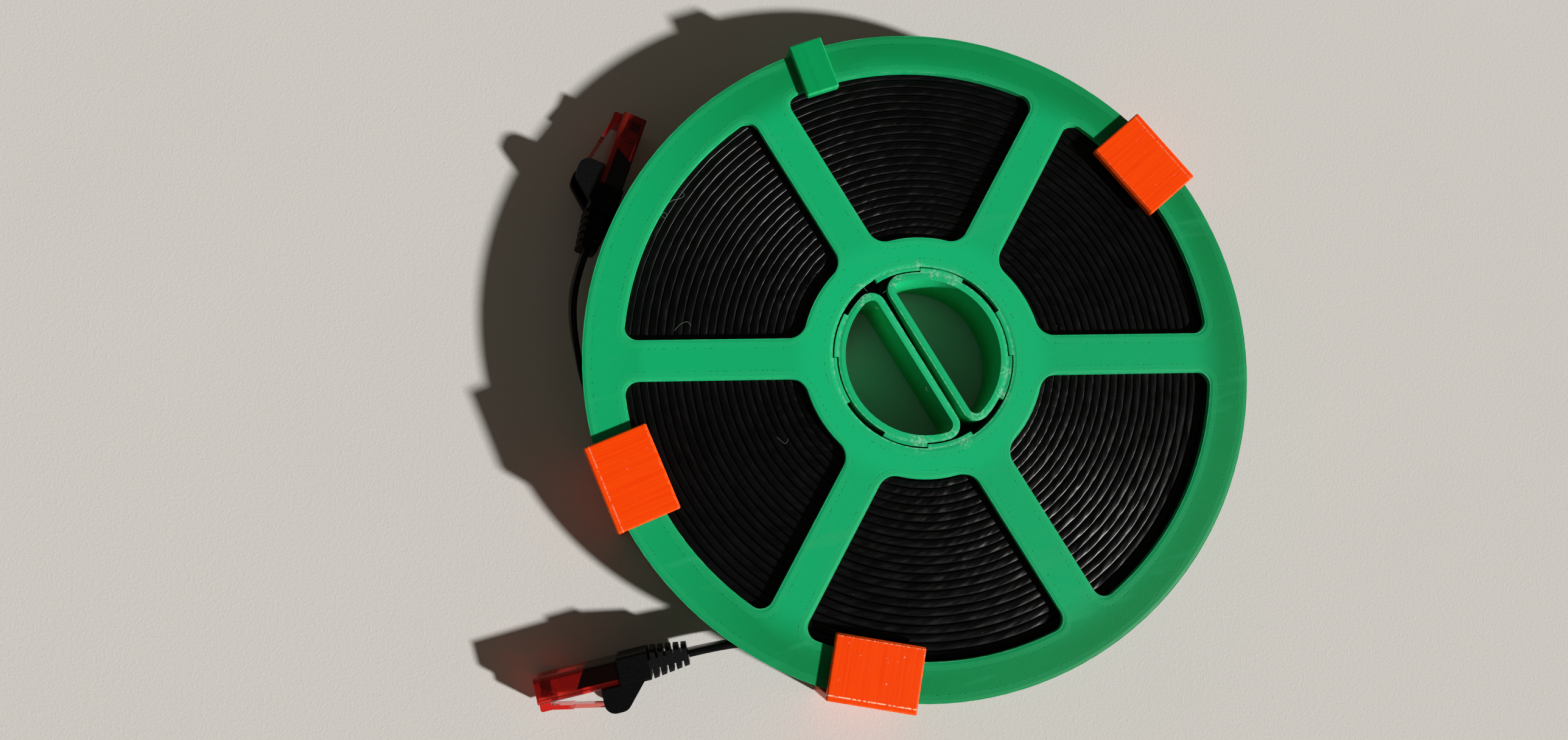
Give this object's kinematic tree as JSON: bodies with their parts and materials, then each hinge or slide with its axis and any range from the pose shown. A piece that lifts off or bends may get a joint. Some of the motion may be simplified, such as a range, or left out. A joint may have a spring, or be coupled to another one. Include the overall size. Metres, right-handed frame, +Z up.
{
  "type": "printed plastic cable reel with flat network cable",
  "caption": "Spoked plastic cable reel lying flat, wound with black flat network cable; rim clips hold its flanges and both clear red plugs lie loose beside it",
  "frame": {"origin": "on the reel's axis, on the surface that the reel's clips rest on", "axes": "+Z up along the reel's axis; +X along the spoke that points right in the picture; +Y towards its far side"},
  "size_m": [0.1935, 0.1825, 0.0231],
  "materials": {
    "green_print": "satin, print lines",
    "orange_print": "satin, print lines",
    "cable_jacket": "satin",
    "boot_black": "fine grain",
    "plug_red": "clear, tinted",
    "contact_gold": "plated"
  },
  "bodies": {
    "root": {"base": "green_print", "top_flange": "green_print", "coil": "cable_jacket", "clip_right": "orange_print", "clip_left": "orange_print", "clip_front": "orange_print", "clip_narrow": "green_print", "front_tail": "cable_jacket", "front_boot": "boot_black", "front_plug": "plug_red", "front_contacts": "contact_gold", "side_tail": "cable_jacket", "side_boot": "boot_black", "side_plug": "plug_red", "side_contacts": "contact_gold"}
  },
  "joints": []
}
